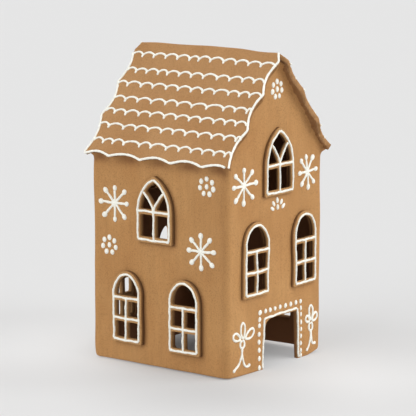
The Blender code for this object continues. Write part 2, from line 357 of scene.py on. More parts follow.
def scallops(way, cusps, hollow):
    """How far a scalloped edge draws back from its cusps' line: half a sine between each two."""
    cusps = np.asarray(cusps, float)
    k = np.clip(np.searchsorted(cusps, way, side="right") - 1, 0, len(cusps) - 2)
    share = (way - cusps[k]) / (cusps[k + 1] - cusps[k])
    return hollow * np.sin(np.pi * np.clip(share, 0, 1))


def gable_reach(t):
    """How far the roof reaches past the middle of the house at t, and more on the right slab.

    From the ridge it grows in a straight line to the first cusp, and is scalloped below that."""
    way, right = np.abs(t), np.asarray(t) < 0
    right_reach = GABLE_RIGHT_Y - RIGHT_DRAWN_IN * smooth((way - DRAWN_IN_FROM) / DRAWN_IN_OVER)
    reach = np.where(right, right_reach, GABLE_Y)
    cut = scallops(way, GABLE_CUSPS, 1.0) * np.where(right, GABLE_RIGHT_HOLLOW, GABLE_HOLLOW)
    upper = (reach - RIDGE_REACH) * (1 - way / GABLE_CUSPS[0])
    return reach - np.where(way < GABLE_CUSPS[0], upper, cut)


def eave_edge(y, reach=GABLE_Y):
    """How far an eave draws back at y along the ridge."""
    return scallops(y, [-reach, *EAVE_CUSPS, reach], EAVE_HOLLOW)


def underside(x):
    """The height of the slabs' underside at a distance x from the ridge plane."""
    return RIDGE - SLAB / math.cos(PITCH) - math.tan(PITCH) * np.abs(x)


def roof_swell(y, t):
    """The roof slabs' unevenness: sines along the ridge times sines over it, and a crown.

    The crown is a cosine along the ridge, and fades down the slopes as a bell curve."""
    rng = np.random.default_rng(5)
    total = 0
    for length_y, length_t in ROOF_WAVES:
        phase = rng.random(2) * 2 * np.pi
        across = np.sin(2 * np.pi * y / length_y + phase[0])
        total = total + across * np.sin(2 * np.pi * t / length_t + phase[1])
    crown = ROOF_CROWN * np.cos(np.pi * y / (2 * GABLE_RIGHT_Y)) * bell(t, CROWN_REACH)
    return ROOF_SWELL * total + crown


def on_roof(points, out):
    """The roof's top surface, and what lies above it (out) or below it (-out), square to the slab.

    The two slopes meet in a small hyperbola at the ridge. Below the surface, points near the ridge
    move down the slope, so that the undersides meet in a mitre."""
    y, t = points[..., 0], points[..., 1]
    sink = np.clip(-out / SLAB, 0, 1) * SLAB * math.tan(PITCH)
    t = t + np.sign(t) * sink * np.clip(1 - np.abs(t) / MITRE_BLEND, 0, 1)
    fold = np.sqrt(t * t + RIDGE_ROUND**2)
    lean = t / fold
    nx, nz = -math.sin(PITCH) * lean, np.full_like(t, math.cos(PITCH))
    size = np.hypot(nx, nz)
    lift = (out + roof_swell(y, t)) / size
    x = -math.cos(PITCH) * t + nx * lift
    z = RIDGE - math.sin(PITCH) * fold + nz * lift
    return np.stack([x, y, z], -1)


# ---- slabs of clay -----------------------------------------------------------------------


def turned_left(steps):
    """Unit vectors a quarter turn to the left of a line's steps."""
    steps = steps / np.maximum(np.linalg.norm(steps, axis=1), 1e-9)[:, None]
    return np.stack([-steps[:, 1], steps[:, 0]], 1)


def corner_radius(ahead, behind):
    """The radius that a line bends round where it bends left: its step's length over its turn.

    Each point takes the least among itself and two neighbours on either side."""
    cross = behind[:, 0] * ahead[:, 1] - behind[:, 1] * ahead[:, 0]
    angle = np.arctan2(cross, np.sum(ahead * behind, axis=1))
    length = (np.linalg.norm(ahead, axis=1) + np.linalg.norm(behind, axis=1)) / 2
    radius = np.where(angle > 0, length / np.maximum(angle, 1e-3), 1e3)
    return np.min([np.roll(radius, k) for k in (-2, -1, 0, 1, 2)], axis=0)


def rim(points, thickness, front=0.0, back=0.0, steps=4, closed=True, rough=0.0):
    """The edge of a slab of clay: rings of points from its front face to its back, clay on the left.

    At the turn a, from 0 to a quarter, a ring lies front * (1 - sin a) inside the outline and
    front * (1 - cos a) deep, and the back's rings mirror that. Where the line bends tightly the
    rounding is less, so that no ring folds. A rough edge stands in and out by rough, which fades to
    nothing at both faces."""
    ahead = np.roll(points, -1, 0) - points
    behind = points - np.roll(points, 1, 0)
    if not closed:
        ahead[-1], behind[0] = behind[-1], ahead[0]
    inward = turned_left(ahead) + turned_left(behind)
    inward /= np.maximum(np.linalg.norm(inward, axis=1), 1e-9)[:, None]
    # at a corner the rings keep their distance from both sides, up to a limit where it is sharp
    mitre = np.clip(np.sum(inward * turned_left(ahead), axis=1), 0.6, 1)
    inward /= mitre[:, None]
    tight = 0.75 * corner_radius(ahead, behind)
    front, back = np.minimum(front, tight), np.minimum(back, tight)
    rings = []
    for a in np.linspace(0, math.pi / 2, steps + 1):
        moved = points + inward * (front * (1 - math.sin(a)))[:, None]
        rings.append((moved, front * (1 - math.cos(a))))
    for a in np.linspace(math.pi / 2, 0, steps + 1):
        moved = points + inward * (back * (1 - math.sin(a)))[:, None]
        rings.append((moved, thickness - back * (1 - math.cos(a))))
    if steps == 0:
        rings = [rings[0], rings[-1]]
    flat = np.stack([ring[0] for ring in rings])
    if np.any(rough):
        fade = np.sin(np.linspace(0, math.pi, len(rings)))[:, None]
        flat = flat + inward * (fade * rough)[:, :, None]
    return {"flat": flat, "depth": np.stack([ring[1] for ring in rings]), "closed": closed}


def triangulate(rims, grid):
    """The triangulation of a sheet's face, over its rims' first rings and the grid between them.

    The first rim is the sheet's outline, or the open ones are together, and the others are holes.
    Returns the grid's points that lie in the clay and clear of its edges, and the triangles."""
    loops = [r["flat"][0] for r in rims]
    near = np.vstack(loops)
    borders = max(sum(not r["closed"] for r in rims), 1)
    outer, holes = np.vstack(loops[:borders]), loops[borders:]

    def in_clay(points):
        found = inside(points, outer)
        for hole in holes:
            found &= ~inside(points, hole)
        return found

    grid = grid[in_clay(grid)]
    # the squares of the gaps to the nearest point of an edge, worked out some edge points at a time
    gap = np.full(len(grid), 1e9)
    chunk = 500
    for first in range(0, len(near), chunk):
        part = near[first : first + chunk]
        gap = np.minimum(gap, np.min(np.sum((grid[:, None] - part[None]) ** 2, axis=2), axis=1))
    grid = grid[gap > (0.35 * STEP) ** 2]

    flat = np.vstack([near, grid])
    edges, begin = [], 0
    for r in rims:
        ids = list(range(begin, begin + r["flat"].shape[1]))
        edges += list(zip(ids, ids[1:] + (ids[:1] if r["closed"] else [])))
        begin += len(ids)
    made = delaunay_2d_cdt([Vector(p) for p in flat], edges, [], 0, 1e-6, True)
    source = np.array([ids[0] if ids else -1 for ids in made[3]])
    triangles = source[np.array(made[2], int)]
    if (triangles < 0).any():
        raise ValueError("two outlines cross")
    return grid, triangles[in_clay(flat[triangles].mean(axis=1))]


def clay_sheet(rims, grid, thickness, surface):
    """A closed slab of clay: two faces that share one triangulation, joined by its rims.

    surface() puts a flat point and its depth below the front face in place. Returns the points in
    place, the faces, and the flat points with their depths."""
    grid, triangles = triangulate(rims, grid)
    points, depths, strips = [], [], []
    front_of, back_of, total = [], [], 0
    for r in rims:
        rings, count = r["depth"].shape
        ids = total + np.arange(rings * count).reshape(rings, count)
        points.append(r["flat"].reshape(-1, 2))
        depths.append(r["depth"].ravel())
        here, there = ids, np.roll(ids, -1, axis=1)
        if not r["closed"]:
            here, there = ids[:, :-1], ids[:, 1:]
        strip = np.stack([here[:-1], here[1:], there[1:], there[:-1]], -1)
        strips.append(strip.reshape(-1, 4))
        front_of.append(ids[0])
        back_of.append(ids[-1])
        total += rings * count
    for deep, faces in ((0.0, front_of), (thickness, back_of)):
        points.append(grid)
        depths.append(np.full(len(grid), deep))
        faces.append(total + np.arange(len(grid)))
        total += len(grid)
    front_of, back_of = np.concatenate(front_of), np.concatenate(back_of)
    faces = [np.vstack(strips), front_of[triangles], back_of[triangles[:, ::-1]]]
    flat, depths = np.vstack(points), np.concatenate(depths)
    return surface(flat, depths), faces, flat, depths


# ---- windows -----------------------------------------------------------------------------


class Window:
    """A window's shape. Its guide line comes from its CAD frame's box, less the margin."""

    def __init__(self, name):
        self.name, self.node = name, "window_" + name
        self.side = name.split("_")[0]
        low, high = box_mm(self.node)
        axis, sign = {"front": (0, 1), "right": (1, 1), "back": (0, -1), "left": (1, -1)}[self.side]
        ends = sorted((sign * low[axis], sign * high[axis]))
        self.centre = (ends[0] + ends[1]) / 2 + (FRONT_SHIFT if self.side == "front" else 0)
        self.half = (ends[1] - ends[0]) / 2 - MARGIN
        self.foot = low[2] + MARGIN
        reach = max(abs(low[1 - axis]), abs(high[1 - axis]))
        self.stand = reach - side_depth(self.side)
        self.box_top = high[2]

    def left_edge(self, z):
        """Where the open space's left edge is at height z, inside the frame's border."""
        return self.centre - self.reach(z, -self.inset)

    def right_edge(self, z):
        """Where its right edge is."""
        return self.centre + self.reach(z, -self.inset)

    def columns(self):
        """The left and right edges of the panes on each side of the mullion."""
        return [
            (self.centre - self.half + self.inset, self.mullion - MULLION / 2),
            (self.mullion + MULLION / 2, self.centre + self.half - self.inset),
        ]


class Arched(Window):
    """A round-headed window: two rows of two panes under one arched pane.

    Its guide line is a rectangle up to the spring, and half an ellipse above."""

    inset = ARCHED_INSET

    def __init__(self, name):
        super().__init__(name)
        self.top = self.box_top - MARGIN
        self.spring = self.top - ARCH_RISE
        lower, upper, off_middle = ARCHED[name]
        self.bars = [self.foot + lower, self.foot + upper]
        self.mullion = self.centre + off_middle

    def reach(self, z, margin):
        """Half the width at height z, for a guide line moved out by the margin."""
        rise = np.clip((z - self.spring) / (ARCH_RISE + margin), 0, 1)
        return (self.half + margin) * np.sqrt(1 - rise * rise)

    def head(self, margin):
        """The head of the guide line moved out by the margin, from right to left."""
        spring = (self.centre, self.spring)
        return oval(spring, self.half + margin, ARCH_RISE + margin, np.linspace(0, math.pi, 61))

    def panes(self):
        """Its openings: four rectangles, and the arched one between its curved edges."""
        low, high = self.bars
        rows = [(self.foot + self.inset, low - BAR_BELOW), (low + BAR_ABOVE, high - BAR_BELOW)]
        panes = [rectangle(*column, *row) for row in rows for column in self.columns()]
        arched = between(self.left_edge, self.right_edge, high + BAR_ABOVE, self.top - self.inset)
        return panes + [arched]


class Pointed(Window):
    """A lancet window: two panes below the bar, and two tracery bars that branch from the mullion.

    Its guide line is a rectangle up to the spring, and above it two circle arcs meet at the apex."""

    inset = POINTED_INSET

    def __init__(self, name):
        super().__init__(name)
        spring, off_middle = POINTED[name]
        self.spring = self.foot + spring
        rise = self.box_top - self.spring
        # the frame's arcs meet at the top of its box, and the guide line's lie a margin inside them
        outer = self.half + MARGIN
        self.radius = (outer**2 + rise**2) / (2 * outer) - MARGIN
        self.offset = self.radius - self.half
        self.top = self.spring + math.sqrt(self.radius**2 - self.offset**2)
        self.mullion = self.centre + off_middle

    def reach(self, z, margin):
        """Half the width at height z, for a guide line moved out by the margin."""
        rise = np.clip(z - self.spring, 0, None)
        return np.sqrt(np.clip((self.radius + margin) ** 2 - rise * rise, 0, None)) - self.offset

    def head(self, margin):
        """The head of the guide line moved out by the margin, from right to left."""
        radius = self.radius + margin
        a = np.linspace(0, math.acos(self.offset / radius), 31)
        right = oval((self.centre - self.offset, self.spring), radius, radius, a)
        left = right[::-1] * [-1, 1] + [2 * self.centre, 0]
        return np.vstack([right, left[1:]])

    def tracery(self, z):
        """How far a tracery bar's middle has spread from the mullion: the height to the power 1.5."""
        climb = np.clip(z - self.spring, 0, None) / TRACERY_RISE
        return TRACERY_SPREAD * climb**1.5

    def panes(self):
        """Its openings: two rectangles, one outside each tracery bar, and one between the two."""
        low, high = self.foot + self.inset, self.spring - BAR_BELOW
        above, half_bar = self.spring + BAR_ABOVE, TRACERY / 2
        left_bar = lambda z, edge: self.mullion - self.tracery(z) + edge
        right_bar = lambda z, edge: self.mullion + self.tracery(z) + edge
        middle_left = lambda z: np.maximum(left_bar(z, half_bar), self.left_edge(z))
        middle_right = lambda z: np.minimum(right_bar(z, -half_bar), self.right_edge(z))
        panes = [rectangle(*column, low, high) for column in self.columns()]
        panes.append(between(self.left_edge, lambda z: left_bar(z, -half_bar), above, self.top))
        panes.append(between(lambda z: right_bar(z, half_bar), self.right_edge, above, self.top))
        panes.append(between(middle_left, middle_right, above, self.top))
        return panes


def rectangle(left, right, low, high):
    """A rectangle's corners, anticlockwise."""
    return np.array([(left, low), (right, low), (right, high), (left, high)], float)


def between(left, right, low, high):
    """The outline of the space between two edges, given as functions of height, where it is open."""
    z = np.linspace(low, high, 400)
    z = z[right(z) - left(z) > 0.3]
    return np.vstack([np.stack([right(z), z], 1), np.stack([left(z), z], 1)[::-1]])


def outline(window, margin):
    """The guide line moved out by the margin, anticlockwise from the foot's left end."""
    left, right = window.centre - window.half - margin, window.centre + window.half + margin
    foot = window.foot - margin
    return np.vstack([[(left, foot), (right, foot)], window.head(margin)])


windows = [Arched(name) for name in ARCHED] + [Pointed(name) for name in POINTED]


# ---- clay pieces -------------------------------------------------------------------------


def doorway_line():
    """The doorway's edge on the front, from its left foot over the top to its right foot.

    Its sides splay a little, the left corner is a broad quarter ellipse and the right one is tight."""
    left, right, top = DOOR_LOW[0] - 0.5, DOOR_HIGH[0] + 0.5, DOOR_HIGH[2] + 3.9
    broad = oval((left + 11, top - 7), 11, 7, np.linspace(math.radians(175), math.radians(90), 12))
    tight = oval((right - 2, top - 2), 2, 2, np.linspace(math.radians(90), math.radians(5), 8))
    return np.vstack([[(left - 3.0, 0)], broad, tight, [(right + 2.5, 0)]])


def overhang(s):
    """How far the wall's top edge flares out under the slabs at the distance s round the house.

    It stops a little short of the slabs' cut edges, and reaches a little further at the corners."""
    plan, out, turned = wall_plan(s)
    gable = gable_reach(-plan[:, 0] / math.cos(PITCH)) - HALF_Y - 0.8
    slab_edge = EAVE_X - eave_edge(plan[:, 1]) * math.cos(PITCH) - SLAB * math.sin(PITCH)
    eave = slab_edge - HALF_X - 0.4
    share = np.abs(out[:, 1]) ** 2
    return gable * share + eave * (1 - share) + 2.5 * turned


def foot_line(s):
    """The height of the wall's foot: the clay has warped, most under the front right corner.

    On each side it grows as the square of the way from where the warp starts to the wall."""
    plan = wall_plan(s)[0]
    x, y = plan[:, 0], plan[:, 1]

    def warp(height, start, x):
        return height * np.clip((x - start) / (HALF_X - start), 0, 1) ** 2

    back = smooth((y + HALF_Y) / (2 * HALF_Y))
    right = warp(WARP_RIGHT, WARP_RIGHT_FROM, x) * (1 - 0.55 * back)
    return right + warp(WARP_LEFT, WARP_LEFT_FROM, -x)


def wall_tops(s):
    """The heights of the outer and inner faces' tops: both run a little into the slabs' underside."""
    plan, out, _ = wall_plan(s)
    outer = plan + out * overhang(s)[:, None]
    inner = plan - out * WALL
    return underside(outer[:, 0]) + INTO_SLAB, underside(inner[:, 0]) + INTO_SLAB


def wall_surface(points, depth):
    """The walls: the unrolled sheet wrapped round the plan, and lifted where its foot has warped.

    The outer face curves out under the slabs in a quarter-ellipse coving, and the feet of its corners
    draw in. The inner face is the outer one's plan moved in by the wall's thickness, and it is
    stretched at its top to reach the slabs."""
    s, z = points[:, 0], points[:, 1]
    plan, out, turned = wall_plan(s)
    top, inner_top = wall_tops(s)
    rise = np.clip((z - top + COVING) / COVING, 0, 1)
    flare = overhang(s) * (1 - np.sqrt(np.clip(1 - rise * rise, 0, 1)))
    above_foot = np.clip(z, 0, None)
    tuck = np.where(plan[:, 1] > 0, TUCK_BACK, TUCK_FRONT)
    tucked = tuck * turned * np.exp(-above_foot / TUCK_HEIGHT)
    squared = SQUARED * turned * (plan[:, 0] < 0) * (plan[:, 1] > 0)
    settle = 1 - smooth((z - top + 14) / 12)
    outer = plan + out * (swell(s, z) * settle + flare - tucked + squared)[:, None]
    inner = plan - out * WALL
    inner_z = z + (inner_top - top) * smooth((z - top + SEAT_BLEND) / SEAT_BLEND)
    share = depth / WALL
    lift = foot_line(s) * np.exp(-above_foot / WARP_HEIGHT)
    xy = outer * (1 - share)[:, None] + inner * share[:, None]
    return np.column_stack([xy, (z + lift) * (1 - share) + (inner_z + 0.65 * lift) * share])


def wall_painted_shade(points, depth):
    """Where painted shade darkens the walls: all over the inside, and deeper in the reveals.

    Outside it is painted shadow under the gables' slabs, painted shade on the upper left wall, more
    towards its front, beside the front left corner, and painted shadow beside and below the frames.
    Under an eave it lies in patches of painted shadow, one below each scallop. Each place is a bell
    curve of the distance from it."""
    s, z = points[:, 0], points[:, 1]
    plan, out, _ = wall_plan(s)
    top = wall_tops(s)[0]
    on_gable, on_long_wall = np.abs(out[:, 1]), np.abs(out[:, 0])
    # painted shadow under the gables' slabs
    painted_shade = 0.1 * bell(z - top, 7) * on_gable
    # painted shade, darker towards the upper front of the left wall
    upper_left = 0.1 * (plan[:, 0] < 0) * smooth((-plan[:, 1] + 10) / 60) * smooth((z - 40) / 60)
    painted_shade += upper_left * on_long_wall
    # painted shade beside the front left corner
    painted_shade += 0.09 * bell(s - START["front"] + CORNER_RUN, 3.5)
    # patches of painted shadow under the eave's scallops
    patch = (eave_edge(plan[:, 1]) / EAVE_HOLLOW) ** 1.5
    painted_shade += (0.05 + 0.6 * patch) * bell(z - top + 4, 4.5) * on_long_wall
    for window in windows:
        u = s - round_way(window.side, 0)
        near = np.abs(u - window.centre) < window.half + 20
        above_foot = smooth((z - window.foot + MARGIN + 2) / 3)
        level = above_foot * smooth((window.top + MARGIN + 1 - z) / 3)
        reach = window.reach(z, MARGIN)
        # painted shadow beside the frame's edges
        for sign, strength in SHADED[window.side]:
            way = sign * (u - window.centre)
            gap = np.clip(way - reach, 0, None)
            painted_shade += strength * near * level * (way > 0) * bell(gap, 2.4)
        # painted shadow just below the frame
        below = np.clip(window.foot - MARGIN - z, 0, None)
        under = (np.abs(u - window.centre) < reach) & (z < window.foot)
        painted_shade += 0.3 * under * bell(below, 1.8)
    # painted shade inside the walls, growing through the reveals
    share = np.clip(depth / WALL, 0, 1)
    return np.clip(painted_shade * (1 - share) + share**0.7, 0, 1)


def make_walls(material):
    """The walls: one sheet of clay unrolled along its perimeter, cut by the doorway and the holes.

    Its outline is the foot with the doorway's line in it and the top under the slabs, and its two
    upright edges meet at the back right corner."""
    line = doorway_line()
    door = np.column_stack([round_way("front", line[:, 0]), line[:, 1]])
    columns = np.linspace(0, PERIMETER, int(PERIMETER / COLUMN_STEP) + 1)
    before, after = columns[columns < door[0, 0] - 1], columns[columns > door[-1, 0] + 1]
    foot = np.vstack([
        np.column_stack([before, 0 * before]),
        resample(door, 1.0),
        np.column_stack([after, 0 * after]),
    ])
    round_front = FOOT_ROUND + (DOOR_EDGE - FOOT_ROUND) * smooth(foot[:, 1] / 4)
    round_back = np.where(foot[:, 1] > 0.01, DOOR_EDGE, FOOT_ROUND_INSIDE)
    top = np.column_stack([columns, wall_tops(columns)[0]])[::-1]
    rims = [
        rim(foot, WALL, round_front, round_back, steps=5, closed=False),
        rim(top, WALL, steps=0, closed=False),
    ]
    for window in windows:
        loop = soften(resample(outline(window, HOLE_MARGIN - window.inset), 0.9, True), 12)
        loop[:, 0] = round_way(window.side, loop[:, 0])
        rims.append(rim(loop[::-1], WALL, HOLE_FACE_EDGE, HOLE_EDGE, steps=3))
    rows = np.arange(STEP * 1.6, RIDGE, STEP)
    grid = grid_points(np.linspace(0, PERIMETER, int(PERIMETER / 2.2) + 1), rows)
    grid = grid[grid[:, 1] < wall_tops(grid[:, 0])[0] - COVING - 0.6]
    # rows that follow the top edge up the coving, closer where it curves more
    flared = []
    for share in (0.0, 0.12, 0.26, 0.4, 0.54, 0.68, 0.8, 0.9):
        flared.append(np.column_stack([columns, wall_tops(columns)[0] - COVING * (1 - share)]))
    grid = np.vstack([grid, *flared])
    shell, faces, flat, depth = clay_sheet(rims, grid, WALL, wall_surface)
    # painted shade for the walls' colour
    painted_shade = wall_painted_shade(flat, depth)
    made = write_piece("walls_clay", shell, faces, material, ["walls"], painted_shade)
    weld(made)
    return made


def weld(piece):
    """Merges the points of the two edges that meet where a sheet closes on itself."""
    bm = bmesh.new()
    bm.from_mesh(piece.data)
    bmesh.ops.remove_doubles(bm, verts=bm.verts, dist=1e-6)
    bm.to_mesh(piece.data)
    bm.free()


def make_roof(material):
    """The roof: both slabs and their ridge as one folded sheet, with scalloped, rough cut edges.

    Each edge strays inwards by a ripple that fades to nothing at its ends."""
    count = 2 * (len(np.arange(-SLOPE, SLOPE + 0.1, ROOF_STEP)) // 2) + 1
    t = np.linspace(-SLOPE, SLOPE, count)
    right_end = float(gable_reach(-SLOPE))
    left_y, right_y = np.linspace(-GABLE_Y, GABLE_Y, 140), np.linspace(-right_end, right_end, 140)

    def stray(way, seed):
        ends = smooth((np.max(way) - np.abs(way)) / 6)
        return ends * (STRAY + ripple(way, (8.3, 13.0, 21.0), 0.14, seed))

    back_y = gable_reach(t) - stray(t, 1)
    front_y = -gable_reach(t) + stray(t, 2)
    left_t = SLOPE - eave_edge(left_y) - stray(left_y, 3)
    right_t = -SLOPE + eave_edge(right_y, right_end) + stray(right_y, 4)
    edge = np.vstack([
        np.column_stack([right_y, right_t])[:-1],
        np.column_stack([back_y, t])[:-1],
        np.column_stack([left_y, left_t])[::-1][:-1],
        np.column_stack([front_y, t])[::-1][:-1],
    ])
    # the right slab's front corner is worn short
    worn = bell(edge[:, 0] + right_end, 14) * smooth((-edge[:, 1] - SLOPE + 22) / 22)
    edge[:, 1] += WORN_SHORT * worn
    edge = soften(resample(edge, ROOF_STEP, True), 5)

    def crumbly(y, t):
        """Where the clay is crumbly, from 0 to 1: along the right slab's front end."""
        return smooth((-y - GABLE_RIGHT_Y + 14) / 6) * smooth((-t - 4) / 8)

    way = np.arange(len(edge)) * ROOF_STEP
    rough = np.abs(ripple(way, (2.5, 3.7, 5.9), 0.3, 6)) + ripple(way, (3.1, 4.7), 0.12, 7)
    rough = rough * (1 + 1.2 * crumbly(edge[:, 0], edge[:, 1]))
    rows = np.arange(-GABLE_RIGHT_Y, GABLE_RIGHT_Y, STEP)
    grid = grid_points(rows, np.arange(-96, 97, 1.0) / 96 * SLOPE)
    # two more lines beside the ridge's fold
    grid = np.vstack([grid, grid_points(rows, [-0.6, 0.6])])

    def surface(points, depth):
        """The right slab's front end sags: it is thicker there, and its lower edge hangs unevenly."""
        y, t = points[:, 0], points[:, 1]
        sag = 1.5 + ripple(t, (5.3, 8.9, 14.0), 0.35, 8)
        heavy = sag * smooth((-y - GABLE_RIGHT_Y + 17) / 9) * smooth((-t - 6) / 14)
        return on_roof(points, -depth - heavy * depth / SLAB)

    rims = [rim(edge, SLAB, ROOF_EDGE, ROOF_EDGE_BELOW, rough=rough)]
    shell, faces, flat, depth = clay_sheet(rims, grid, SLAB, surface)
    y, t = flat[:, 0], flat[:, 1]
    # painted shade on the lower cut edges and the underside; the crumbly front end has less, with a
    # wandering edge
    loose = crumbly(y, t)
    shade_from = ROOF_SHADE_FROM + loose * (ripple(t, (6.1, 9.7, 15.0), 0.7, 9) - 0.5)
    painted_shade = (ROOF_SHADE - 0.4 * loose) * smooth((depth - shade_from) / (SLAB - ROOF_SHADE_FROM))
    slabs = ["roof_left", "roof_right"]
    return write_piece("roof_clay", shell, faces, material, slabs, painted_shade)


def make_frame(window, material, seed):
    """A raised window frame with its glazing bars, its edges rounded and its face a little uneven.

    Painted shade darkens its outer edge and its reveals, from a little below its face."""
    thickness = window.stand + FRAME_SUNK
    edge = soften(resample(outline(window, MARGIN), FRAME_STEP, True), 3)
    panes = [soften(resample(pane, FRAME_STEP, True), 3) for pane in window.panes()]
    rims = [rim(edge, thickness, FRAME_EDGE, 0.1)]
    rims += [rim(pane[::-1], thickness, FRAME_EDGE, FRAME_BACK_EDGE) for pane in panes]
    low, high = edge.min(0), edge.max(0)
    grid = grid_points(np.arange(low[0], high[0], FRAME_GRID), np.arange(low[1], high[1], FRAME_GRID))
    wall = on_wall(window.side, window.stand)

    def surface(points, depth):
        """The wall's surface, with lumps that fade to nothing at the back."""
        lumps = ripple(points[:, 0] + 0.6 * points[:, 1], (17, 11), 0.12, seed)
        return wall(points, -depth + lumps * (1 - depth / thickness))

    shell, faces, _, depth = clay_sheet(rims, grid, thickness, surface)
    # painted shade on the side faces and in the reveals, more on the front's frames
    outside = np.arange(len(depth)) < rims[0]["depth"].size
    most, start, over = (0.9, 1, 1.6) if window.side == "front" else (0.5, 2, 2.8)
    reveal = most * smooth((depth - start) / over)
    painted_shade = np.where(outside, smooth((depth - 0.3) / 1.5), reveal)
    name = "frame_" + window.name
    return write_piece(name, shell, faces, material, [window.node], painted_shade)


# ---- piped icing -------------------------------------------------------------------------


class Piping:
    """Piped lines and dots, gathered into one piece. Each is a closed shape half sunk in the clay."""

    def __init__(self, name, seed):
        self.name, self.rng = name, np.random.default_rng(seed)
        self.points, self.quads, self.triangles, self.total = [], [], [], 0

    def add(self, flat, out, surface):
        """Adds rings (rings, section) of flat points and heights, with a pole at each end."""
        rings, section = out.shape
        ends = [(flat[0].mean(0), out[0].mean()), (flat[-1].mean(0), out[-1].mean())]
        flat = np.vstack([flat.reshape(-1, 2), [ends[0][0], ends[1][0]]])
        out = np.concatenate([out.ravel(), [ends[0][1], ends[1][1]]])
        ids = self.total + np.arange(rings * section).reshape(rings, section)
        there = np.roll(ids, -1, axis=1)
        self.quads.append(np.stack([ids[:-1], ids[1:], there[1:], there[:-1]], -1).reshape(-1, 4))
        first, last = self.total + rings * section, self.total + rings * section + 1
        self.triangles.append(np.stack([ids[0], there[0], np.full(section, first)], -1))
        self.triangles.append(np.stack([there[-1], ids[-1], np.full(section, last)], -1))
        self.points.append(surface(flat, out))
        self.total += len(out)

    def line(self, points, surface, width=LINE, ends=(1.0, 1.0), wobble=0.17, curved=True, blobs=()):
        """A piped line: an ellipse carried along a curve through the points, with round ends.

        The line strays sideways by a ripple. Its width wanders, and swells as bell curves at its ends
        and at each blob, given as (share of the way, swelling). Its height goes with its width."""
        points = np.asarray(points, float)
        path = resample(spline(points) if curved and len(points) > 2 else points, LINE_STEP)
        way = along(path)
        total = way[-1]
        shift = ripple(way, (9, 14, 23), wobble, self.rng.integers(1 << 30))
        side = turned_left(np.gradient(path, axis=0))
        path = path + side * shift[:, None]
        half = width / 2 * (1 + ripple(way, (4, 7, 12), 0.1, self.rng.integers(1 << 30)))
        swelling = (ends[0] - 1) * bell(way, width) + (ends[1] - 1) * bell(total - way, width)
        for share, extra in blobs:
            swelling = swelling + extra * bell(way - share * total, 0.8 * width)
        half = half * (1 + swelling)
        # a round end: the last ring's way to the tip sets its width, as on a circle
        for gap, radius in ((way, half[0]), (total - way, half[-1])):
            near = np.clip(1 - gap / radius, 0, 1)
            half = half * np.sqrt(np.clip(1 - near * near, 0.02, 1))
        # clockwise as one looks along the line, so that its faces point outwards
        turn = np.linspace(0, -2 * np.pi, SECTION, endpoint=False)
        across = np.cos(turn)[None, :] * half[:, None]
        tall = LINE_HEIGHT * (half / (width / 2)) ** 0.7
        out = np.sin(turn)[None, :] * tall[:, None]
        flat = path[:, None, :] + side[:, None, :] * across[:, :, None]
        self.add(flat, out, surface)

    def dot(self, centre, surface, width=4.0, tall=4.4, height=1.0, lean=0.0):
        """A piped dot: a low dome over an ellipse, a little off round, turned by lean."""
        around = np.linspace(0, 2 * np.pi, DOT_SECTION, endpoint=False)
        up = np.linspace(math.radians(84), -math.radians(84), 8)
        wave = 1 + ripple(around, (np.pi, 2 * np.pi / 3), 0.03, self.rng.integers(1 << 30))
        size = 1 + self.rng.normal(0, 0.04)
        x = np.cos(up)[:, None] * np.cos(around) * wave * width / 2 * size
        z = np.cos(up)[:, None] * np.sin(around) * wave * tall / 2 * size
        cos, sin = math.cos(lean), math.sin(lean)
        flat = np.stack([x * cos - z * sin, x * sin + z * cos], -1)
        out = np.repeat(np.sin(up)[:, None] * height, DOT_SECTION, axis=1)
        self.add(flat + np.asarray(centre, float), out, surface)

    def finish(self, material):
        """Writes the whole piece."""
        points = np.vstack(self.points)
        faces = [np.vstack(self.quads), np.vstack(self.triangles)]
        return write_piece(self.name, points, faces, material)


def spline(points, samples=12):
    """A smooth curve through the points: cubics, each heading at its ends as their neighbours lie."""
    ends = np.vstack([2 * points[0] - points[1], points, 2 * points[-1] - points[-2]])
    t = np.linspace(0, 1, samples, endpoint=False)[:, None]
    pieces = []
    for a, b, c, d in zip(ends, ends[1:], ends[2:], ends[3:]):
        square = (2 * a - 5 * b + 4 * c - d) * t**2
        cube = (3 * b - a - 3 * c + d) * t**3
        pieces.append(0.5 * (2 * b + (c - a) * t + square + cube))
    return np.vstack([*pieces, points[-1:]])


def snowflake(piping, surface, centre, arms):
    """Piped arms from a middle, each ending in a ball, given as (degrees, length)."""
    for degrees, length in arms:
        a = math.radians(degrees)
        ray = np.array([math.cos(a), math.sin(a)])
        start, tip = np.asarray(centre, float), centre + ray * (length + 0.8)
        piping.line([start, tip - ray * 1.2], surface, width=2.3, wobble=0.15)
        piping.dot(tip - ray * 1.7, surface, 4.7, 5.6, 1.3, lean=a - math.pi / 2)
    piping.dot(centre, surface, 4.4, 4.4, 1.15)


def dot_flower(piping, surface, centre, radius=6.6, petals=7):
    """Dots on a ring, a little wider than it is high, round one in the middle."""
    piping.dot(centre, surface, 4.5, 5.0)
    for k in range(petals):
        a = math.radians(90 - 360 / petals * k)
        at = np.asarray(centre, float) + radius * np.array([1.12 * math.cos(a), math.sin(a)])
        piping.dot(at, surface, 4.5, 5.0, lean=piping.rng.normal(0, 0.2))


def half_flower(piping, surface, centre):
    """Petals fanned over one short one."""
    for u, z, lean in HALF_FLOWER:
        at = np.asarray(centre, float) + [u, z]
        piping.dot(at, surface, 3.5, 5.8, lean=math.radians(lean))
    piping.dot(centre, surface, 3.4, 5.0)


